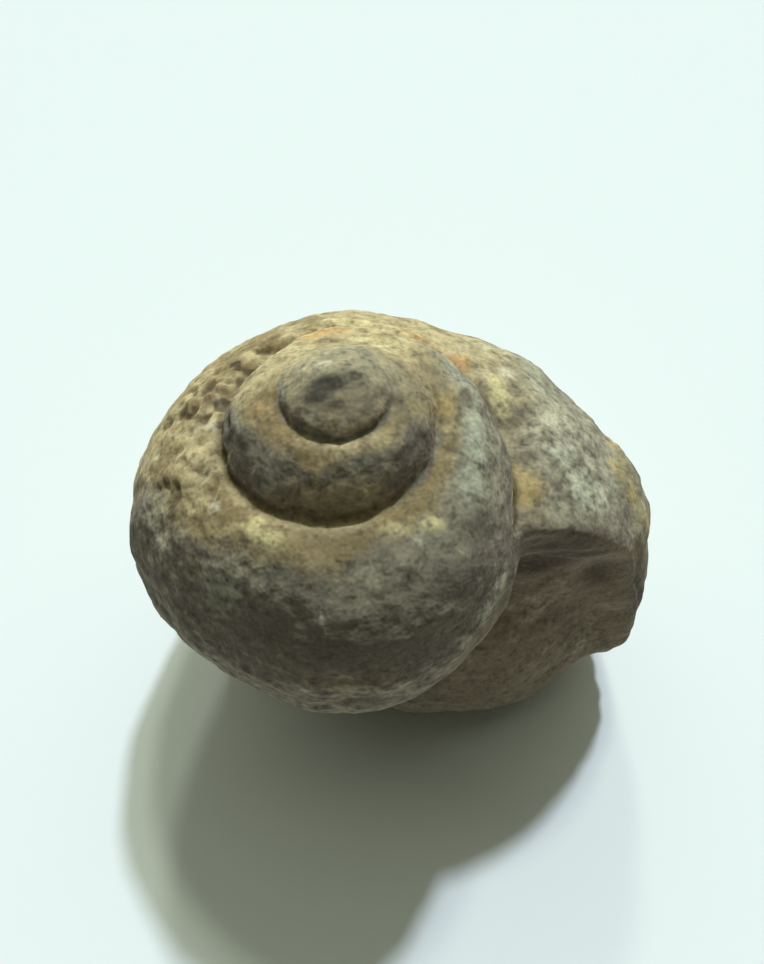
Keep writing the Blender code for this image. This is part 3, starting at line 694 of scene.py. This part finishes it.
def new_object(name, vertices, faces):
    """An object at the origin from vertices and faces, with its faces turned outwards."""
    mesh = bpy.data.meshes.new(name)
    mesh.from_pydata(vertices.tolist(), [], faces)
    turned = bmesh.new()
    turned.from_mesh(mesh)
    bmesh.ops.recalc_face_normals(turned, faces=turned.faces)
    turned.to_mesh(mesh)
    turned.free()
    return placed(name, mesh)


def evaluated_mesh(source):
    """A copy of an object's mesh with its modifiers applied."""
    graph = bpy.context.evaluated_depsgraph_get()
    return bpy.data.meshes.new_from_object(source.evaluated_get(graph))


def fused_skin(shape):
    """One closed skin round the coil and the rock under it, cut flat at the base."""
    vertices, quads, triangles = coil_grid(shape)
    for form in MASSES:
        more_vertices, more_quads, more_triangles = mass_grid(*form)
        quads = np.vstack([quads, more_quads + len(vertices)])
        triangles = np.vstack([triangles, more_triangles + len(vertices)])
        vertices = np.vstack([vertices, more_vertices])
    vertices[:, 2] = np.maximum(vertices[:, 2], BASE_HEIGHT)
    rough = new_object("rough", vertices, quads.tolist() + triangles.tolist())
    fuse = rough.modifiers.new("fuse", "REMESH")
    fuse.mode = "VOXEL"
    fuse.voxel_size = shape.cell
    mesh = evaluated_mesh(rough)
    bpy.data.objects.remove(rough, do_unlink=True)
    return mesh


def worn_smooth(mesh, points, shape):
    """Points with the tip, the back of the spire, the seam and the broken lip worn smooth.

    There each point moves a share of its way to the middle of its neighbours, over and over.
    """
    near, _ = seam_distance(points, shape)
    back = smooth_step(points[:, 2], *BACK_WORN_ABOVE) * smooth_step(points[:, 1], *BACK_WORN_BEHIND)
    share = np.maximum(smooth_step(points[:, 2], *TIP_WORN_ABOVE), BACK_WEAR * back)
    share = np.maximum(share, SEAM_WEAR * (near < SEAM_WEAR_WIDTH))
    lip = np.abs(behind_lip(points, shape)) < LIP_WEAR_REACH
    share = np.maximum(share, LIP_WEAR * lip * smooth_step(points[:, 0], *MOUTH_RIGHT_OF))
    edges = np.empty(len(mesh.edges) * 2, dtype=np.int64)
    mesh.edges.foreach_get("vertices", edges)
    edges = edges.reshape(-1, 2)
    edges = edges[np.any(share[edges] > 0.0, axis=1)]
    ends = np.concatenate([edges[:, 0], edges[:, 1]])
    others = np.concatenate([edges[:, 1], edges[:, 0]])
    count = np.maximum(np.bincount(ends, minlength=len(points)), 1)
    for _ in range(WEAR_ROUNDS):
        sums = [np.bincount(ends, points[others, axis], len(points)) for axis in range(3)]
        points = points + share[:, None] * (np.stack(sums, axis=1) / count[:, None] - points)
    return points


def seam_distance(points, shape):
    """Distance to the seam in the plane through the axis and the point, and how sharp it is there.

    The distance counts for more on the smaller turns.
    """
    points = leaned(points, -1.0)
    radius = np.hypot(points[:, 0], points[:, 1])
    bearing = np.degrees(np.arctan2(points[:, 1], points[:, 0]))
    nearest = np.full(len(points), FAR)
    sharpness = np.zeros(len(points))
    for turn in range(int(SEAM_TURNS) + 2):
        unwound = bearing + 360.0 * turn
        seam = seam_radius_at(unwound, shape)
        away = np.hypot(radius - seam, points[:, 2] - shape.tip_height + SEAM_DROP * seam)
        inside = (unwound > MOUTH_BEARING) & (unwound < MOUTH_BEARING + 360.0 * SEAM_TURNS)
        away = np.where(inside, away / np.sqrt(seam / shape.seam_radius), FAR)
        here = np.interp(unwound, *np.array(SEAM_SHARPNESS).T)
        sharpness = np.where(away < nearest, here, sharpness)
        nearest = np.minimum(nearest, away)
    return nearest, sharpness


def seam_ratio(points, shape):
    """Radius over that of the seam just inside it, and the unwound bearing of the turn it is on.

    The crease that shows lies a little inside the seam.
    """
    points = leaned(points, -1.0)
    radius = np.hypot(points[:, 0], points[:, 1])
    bearing = np.degrees(np.arctan2(points[:, 1], points[:, 0]))
    bearing = np.where(bearing < MOUTH_BEARING, bearing + 360.0, bearing)
    ratio = radius / seam_radius_at(bearing, shape)
    for _ in range(int(TURNS)):
        inside = ratio < CREASE_RATIO
        bearing = np.where(inside, bearing + 360.0, bearing)
        ratio = np.where(inside, ratio * shape.growth, ratio)
    return ratio, bearing


def ellipsoid_fade(points, centre, reach):
    """exp(-d^2), d being the distance from a centre in shares of the reach along each axis."""
    away = (points - np.array(centre) * MM) / (np.array(reach) * MM)
    return np.exp(-(away ** 2).sum(axis=1))


def strongest(points, places):
    """The strongest of several places that fade out, from the centre, reach and strength of each."""
    cover = np.zeros(len(points))
    for centre, reach, strength in places:
        cover = np.maximum(cover, strength * ellipsoid_fade(points, centre, reach))
    return cover


def behind_lip(points, shape):
    """Distance behind the broken lip."""
    return points[:, 1] - lip_plane(points, shape)


def bare_rock(points, shape):
    """1 on the rock in the mouth and under the base, 0 on the shell's cast."""
    rock = smooth_step(behind_lip(points, shape), *ROCK_IN_FRONT)
    rock *= smooth_step(points[:, 0], *ROCK_RIGHT_OF)
    rock *= smooth_step(points[:, 2], *ROCK_UNDER_LIP)
    return np.maximum(rock, smooth_step(points[:, 2], *ROCK_AT_FOOT))


def inside_mouth(points, shape):
    """1 on all that lies in front of the broken lip."""
    share = smooth_step(behind_lip(points, shape), *MOUTH_FACE)
    return share * smooth_step(points[:, 0], *MOUTH_RIGHT_OF)


def crust_share(points, shape):
    """1 on the plate of crust: a squashed ball about its centre whose edge is made ragged by noise."""
    away = np.linalg.norm((points - CRUST_CENTRE) / CRUST_REACH, axis=1)
    edge = noise_sum(points, CRUST_EDGE, 1.0)
    share = smooth_step(away, edge + EDGE_SLOPE, edge - EDGE_SLOPE)
    return share * smooth_step(behind_lip(points, shape), *CRUST_BEHIND)


def pitted_zone(points):
    """How pitted the cast is: most on the upper left, a little everywhere."""
    zone = strongest(points, PITTED_PLACES)
    return np.clip(zone * PITTED_GAIN, PITTED_LEAST, 1.0)


def worn_height(points, shape):
    """Height of the worn surface over the smooth one, and how much darker brown is laid in its hollows,
    0 to 1.
    """
    near, sharpness = seam_distance(points, shape)
    seam = sharpness * np.exp(-(near / SEAM_WIDTH) ** 2)
    crack = sharpness * np.exp(-(near / CRACK_WIDTH) ** 2)
    rock = bare_rock(points, shape)
    crust = crust_share(points, shape)
    height = -SEAM_DEPTH * seam - CRACK_DEPTH * crack
    zone = pitted_zone(points)
    for cell, depth, seed in LUMPS:
        rough = 1.0 + ROCK_ROUGHNESS * rock + (PITTED_ROUGHNESS * zone if cell < SMALL_LUMP else 0.0)
        height += shape.wear * depth * rough * lattice_noise(points, cell, seed)
    for centre, reach, depth in DENTS:
        height += depth * MM * ellipsoid_fade(points, centre, reach)
    bend = [lattice_noise(points, BEND_CELL, BEND_SEED + i) for i in range(3)]
    bent = points + BEND * np.stack(bend, axis=1)
    single = np.zeros(len(points))
    for centre, radius, depth in PITS:
        single += depth * ellipsoid_fade(bent, centre, (radius, radius, radius))
    strewn = strewn_pits(bent, *LARGE_PITS) * zone + SMALL_SHARE * strewn_pits(bent, *SMALL_PITS) * zone
    coarse = strewn_pits(bent, *ROCK_PITS) * np.maximum(rock, crust)
    ragged = smooth_step(noise_sum(bent, RAGGED_NOISE), *RAGGED_FROM) * zone
    pits = SINGLE_DEPTH * single + STREWN_DEPTH * strewn + ROCK_PIT_DEPTH * coarse
    height += CRUST_PROUD * crust - shape.wear * MM * pits
    height -= shape.wear * RAGGED_DEPTH * ragged
    hollows = (crack, seam, single, strewn, coarse, ragged)
    hollow = sum(share * kind for share, kind in zip(HOLLOW_DARKNESS, hollows))
    return height, np.clip(hollow, 0.0, 1.0)


def tan_share(points, normals, shape):
    """How far the tan weathering covers the cast: out from the seam to a reach that varies along it."""
    ratio, bearing = seam_ratio(points, shape)
    reach = np.interp(bearing, *np.array(TAN_REACH).T)
    strength = np.interp(bearing, *np.array(TAN_STRENGTH).T)
    ragged = noise_sum(points, TAN_EDGE_NOISE)
    share = smooth_step(ratio + ragged, reach + TAN_EDGE, reach - TAN_EDGE) * strength
    share += (TIP_TAN - share) * smooth_step(points[:, 2], *TIP_TAN_ABOVE)
    return share * smooth_step(normals[:, 2], *TAN_FACING) * (1.0 - inside_mouth(points, shape))


def store(mesh, name, values):
    """Keeps one number per vertex in the mesh for the material to read."""
    mesh.attributes.new(name, "FLOAT", "POINT").data.foreach_set("value", values.astype(np.float32))


def read_vectors(mesh, name):
    """One of the mesh's vectors per vertex as an array of rows."""
    values = np.empty(len(mesh.vertices) * 3)
    mesh.vertices.foreach_get(name, values)
    return values.reshape(-1, 3)


def paint_masks(mesh, shape):
    """Where each colour lies, from the finished surface's places and normals, which place the painted
    light.
    """
    points = read_vectors(mesh, "co")
    normals = read_vectors(mesh, "normal")
    _, hollow = worn_height(points, shape)
    store(mesh, "hollow", hollow)
    store(mesh, "everywhere", np.ones(len(points)))
    fill = smooth_step(behind_lip(points, shape), *MOUTH_DEPTH)
    fill *= smooth_step(points[:, 0], *MOUTH_RIGHT_OF)
    fill *= smooth_step(points[:, 2], *ROCK_UNDER_LIP) * smooth_step(-normals[:, 1], *MOUTH_FACING)
    fill = np.maximum(fill, ellipsoid_fade(points, *ROCK_BY_THE_LIP))
    store(mesh, "bare_rock", np.maximum(bare_rock(points, shape), fill))
    store(mesh, "crust", crust_share(points, shape))
    tan = tan_share(points, normals, shape)
    # Painted light: sides facing +Y, towards the lamps behind, are painted paler
    rear = smooth_step(normals[:, 1], *REAR_FACING)
    patches = noise_sum(points, LIGHT_TAN_NOISE)
    upper = smooth_step(normals[:, 2], *UPPER_FACING) * (1.0 - inside_mouth(points, shape))
    # More light tan at the rear: partly painted light from the lamps behind
    light = np.clip(LIGHT_TAN_EVEN + LIGHT_TAN_REAR * rear + patches, 0.0, 1.0)
    store(mesh, "tan_coat", tan)
    store(mesh, "light_tan_and_lit_rear", tan * light)
    # Painted light: the lit grey grows as the side faces up, and more at the rear
    store(mesh, "lit_upper_side", upper * (UPPER_EVEN + UPPER_REAR * rear))
    # Painted bounce light: paler as the side faces down to the floor
    store(mesh, "floor_lit_under_side", smooth_step(normals[:, 2], *UNDER_FACING))
    for name, stains in STAINS.items():
        store(mesh, name + "_stain", strongest(points, stains))


def make_stone(shape, colours):
    """The stone: the fused skin, smoothed and pushed along its normals by the wear, then thinned."""
    mesh = fused_skin(shape)
    mesh.vertices.foreach_set("co", worn_smooth(mesh, read_vectors(mesh, "co"), shape).ravel())
    mesh.update()
    points = read_vectors(mesh, "co")
    height, _ = worn_height(points, shape)
    points += read_vectors(mesh, "normal") * height[:, None]
    points[:, 2] = np.maximum(points[:, 2], 0.0)
    mesh.vertices.foreach_set("co", points.ravel())
    mesh.update()
    stone = placed("fossil_stone", mesh)
    triangles = len(mesh.loops) - 2 * len(mesh.polygons)
    if triangles > shape.triangles:
        thin = stone.modifiers.new("thin", "DECIMATE")
        thin.ratio = shape.triangles / triangles
        stone.data = evaluated_mesh(stone)
        stone.modifiers.clear()
    paint_masks(stone.data, shape)
    stone.data.shade_smooth()
    stone.data.materials.clear()
    stone.data.materials.append(weathered_limestone(colours))
    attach(stone, "root")
    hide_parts(NODE)
    return stone


def add_node(tree, kind, sockets, output=0, **settings):
    """Adds a node with its own settings, and gives the output asked for.

    Each of the sockets, by name or place, is set to a value or linked to another node's output.
    """
    node = tree.nodes.new(kind)
    for name, value in settings.items():
        setattr(node, name, value)
    for socket, value in sockets.items():
        if isinstance(value, bpy.types.NodeSocket):
            tree.links.new(value, node.inputs[socket])
        else:
            node.inputs[socket].default_value = value
    return None if output is None else node.outputs[output]


def weathered_limestone(colours):
    """Weathered limestone, as it came out of its bed: dull, sandy to the eye, mottled at every size.

    Its mottling is about a millimetre wide, and the weathering on its upper sides is tan over a
    grey-brown body, with darker brown laid in the pits; its upper and rear sides carry painted light,
    and its under sides painted bounce light. The real grain is too fine to show, so it is drawn a fifth
    of a millimetre wide. Unpolished stone is rough, with a faint sheen at most.
    """
    material = bpy.data.materials.new("weathered_limestone")
    material.use_nodes = True
    tree = material.node_tree
    tree.nodes.clear()
    place = add_node(tree, "ShaderNodeTexCoord", {}, "Object")
    part = {}
    for name, size_mm, detail, rough in PATTERNS:
        scale = 1.0 / (2.0 * size_mm * MM)
        sockets = {"Vector": place, "Scale": scale, "Detail": detail, "Roughness": rough}
        part[name] = add_node(tree, "ShaderNodeTexNoise", sockets, "Fac")
    for name in MASKS:
        part[name] = add_node(tree, "ShaderNodeAttribute", {}, "Fac", attribute_name=name)
    fine = {0: part["speck"], 1: FRET[1], 2: -sum(FRET) / 2.0}
    fine = add_node(tree, "ShaderNodeMath", fine, operation="MULTIPLY_ADD")
    waver = {0: part["mottle"], 1: FRET[0], 2: fine}
    waver = add_node(tree, "ShaderNodeMath", waver, operation="MULTIPLY_ADD")

    colour = linear("#000000")
    for source, fret, start, full, share, top in LAYERS:
        edge = {0: waver, 1: fret, 2: part[source]}
        edge = add_node(tree, "ShaderNodeMath", edge, operation="MULTIPLY_ADD")
        cover = {"Value": edge, "From Min": start, "From Max": full, "To Max": share}
        cover = add_node(tree, "ShaderNodeMapRange", cover, interpolation_type="SMOOTHSTEP")
        mixed = {0: cover, 6: colour, 7: getattr(colours, top)}
        colour = add_node(tree, "ShaderNodeMix", mixed, 2, data_type="RGBA")

    coarse = {0: part["mottle"], 1: SHADE[0], 2: 1.0 - sum(SHADE) / 2.0}
    coarse = add_node(tree, "ShaderNodeMath", coarse, operation="MULTIPLY_ADD")
    shade = {0: part["grain"], 1: SHADE[1], 2: coarse}
    shade = add_node(tree, "ShaderNodeMath", shade, operation="MULTIPLY_ADD")
    colour = add_node(tree, "ShaderNodeHueSaturation", {"Color": colour, "Value": shade})
    relief = {0: part["grain"], 1: RELIEF_GRAIN, 2: part["speck"]}
    relief = add_node(tree, "ShaderNodeMath", relief, operation="MULTIPLY_ADD")
    relief = {"Height": relief, "Strength": RELIEF_STRENGTH, "Distance": RELIEF_DEPTH}
    normal = add_node(tree, "ShaderNodeBump", relief)
    shader = add_node(
        tree, "ShaderNodeBsdfPrincipled",
        {"Base Color": colour, "Normal": normal, "Roughness": 0.92, "IOR": 1.5,
         "Specular IOR Level": 0.25, "Diffuse Roughness": 0.6},
    )
    add_node(tree, "ShaderNodeOutputMaterial", {"Surface": shader}, None)
    return material


def matt_paper(colour):
    """Matt white paper: even, with no shine, and a faint tooth too fine to show."""
    material = bpy.data.materials.new("matt_paper")
    material.use_nodes = True
    shader = material.node_tree.nodes["Principled BSDF"]
    shader.inputs["Base Color"].default_value = colour
    shader.inputs["Roughness"].default_value = 0.95
    shader.inputs["Specular IOR Level"].default_value = 0.1
    return material


def make_floor(settings):
    """A square of pale floor at Z = 0."""
    half = settings.floor_size / 2.0
    across = np.linspace(-half, half, 3)
    x, y = np.meshgrid(across, across)
    vertices = np.stack([x.ravel(), y.ravel(), np.zeros(x.size)], axis=-1)
    start = (np.arange(2)[:, None] * 3 + np.arange(2)).ravel()
    faces = np.stack([start, start + 1, start + 4, start + 3], axis=-1)
    mesh = bpy.data.meshes.new("floor")
    mesh.from_pydata(vertices.tolist(), [], faces.tolist())
    mesh.materials.append(matt_paper(settings.floor_colour))
    floor = placed("floor", mesh)


def direction(elevation, bearing):
    """Unit vector towards a point at that elevation and bearing, both in degrees."""
    up, turn = np.radians(elevation), np.radians(bearing)
    return Vector((np.cos(up) * np.cos(turn), np.cos(up) * np.sin(turn), np.sin(up)))


def make_lights(settings):
    """Soft lights from above and behind, and an even fill from all round."""
    for name, elevation, bearing, share, width, colour in LIGHTS:
        light = bpy.data.lights.new(name, "SUN")
        light.energy = settings.key * share / np.sin(np.radians(elevation))
        light.angle = np.radians(width)
        light.color = colour
        lamp = placed(name, light)
        lamp.rotation_mode = "QUATERNION"
        lamp.rotation_quaternion = direction(elevation, bearing).to_track_quat("Z", "Y")
    world = bpy.data.worlds.new("even_fill")
    world.use_nodes = True
    background = world.node_tree.nodes["Background"]
    background.inputs["Color"].default_value = FILL_COLOUR
    background.inputs["Strength"].default_value = settings.fill
    bpy.context.scene.world = world


def make_camera():
    """The camera: it looks along +Y and down, level from side to side."""
    tilt = np.radians(CAMERA_ELEVATION)
    right = Vector((1.0, 0.0, 0.0))
    up = Vector((0.0, np.sin(tilt), np.cos(tilt)))
    back = Vector((0.0, -np.cos(tilt), np.sin(tilt)))
    data = bpy.data.cameras.new("camera")
    data.sensor_width = SENSOR
    data.lens = SENSOR * FOCAL_PIXELS / IMAGE_LONG_SIDE
    data.clip_start = NEAREST_SEEN
    camera = placed("camera", data)
    turned = Matrix((right, up, back)).transposed().to_4x4()
    camera.matrix_world = Matrix.Translation(CAMERA_PLACE) @ turned
    bpy.context.scene.camera = camera
    bpy.context.scene.view_settings.view_transform = "Standard"


class FOSSIL_OT_make_stone(bpy.types.Operator):
    """Make the stone cast of the shell in place of its plain solid"""
    bl_idname = "fossil.make_stone"
    bl_label = "Make the stone"

    def execute(self, context):
        """Builds the stone from the panel's values."""
        make_stone(context.scene.stone_shape, context.scene.stone_colours)
        return {"FINISHED"}


class FOSSIL_OT_make_stage(bpy.types.Operator):
    """Make the camera, the lights and the pale floor"""
    bl_idname = "fossil.make_stage"
    bl_label = "Make the stage"

    def execute(self, context):
        """Builds the stage from the panel's values."""
        make_camera()
        make_floor(context.scene.stage_settings)
        make_lights(context.scene.stage_settings)
        return {"FINISHED"}


class FOSSIL_PT_panel(bpy.types.Panel):
    """Sizes, colours and buttons of the fossil shell"""
    bl_idname = "FOSSIL_PT_panel"
    bl_label = "Fossil Shell"
    bl_space_type = "VIEW_3D"
    bl_region_type = "UI"
    bl_category = "Fossil Shell"

    def draw(self, context):
        """Lists every value and the two buttons."""
        scene = context.scene
        for group in (scene.stone_shape, scene.stone_colours, scene.stage_settings):
            box = self.layout.box()
            for name in group.__annotations__:
                box.prop(group, name)
        self.layout.operator(FOSSIL_OT_make_stage.bl_idname)
        self.layout.operator(FOSSIL_OT_make_stone.bl_idname)


CLASSES = (
    StoneShape, StoneColours, StageSettings,
    FOSSIL_OT_make_stone, FOSSIL_OT_make_stage, FOSSIL_PT_panel,
)
GROUPS = {"stone_shape": StoneShape, "stone_colours": StoneColours, "stage_settings": StageSettings}


def register():
    """Adds the classes, and the groups to the scene."""
    for kind in CLASSES:
        bpy.utils.register_class(kind)
    for name, group in GROUPS.items():
        setattr(bpy.types.Scene, name, bpy.props.PointerProperty(type=group))


def unregister():
    """Takes away what register added."""
    for name in GROUPS:
        delattr(bpy.types.Scene, name)
    for kind in reversed(CLASSES):
        bpy.utils.unregister_class(kind)


def main():
    """Makes the stage and the stone."""
    register()
    bpy.ops.fossil.make_stage()
    bpy.ops.fossil.make_stone()
    bpy.context.view_layer.update()


if __name__ == "__main__":
    main()
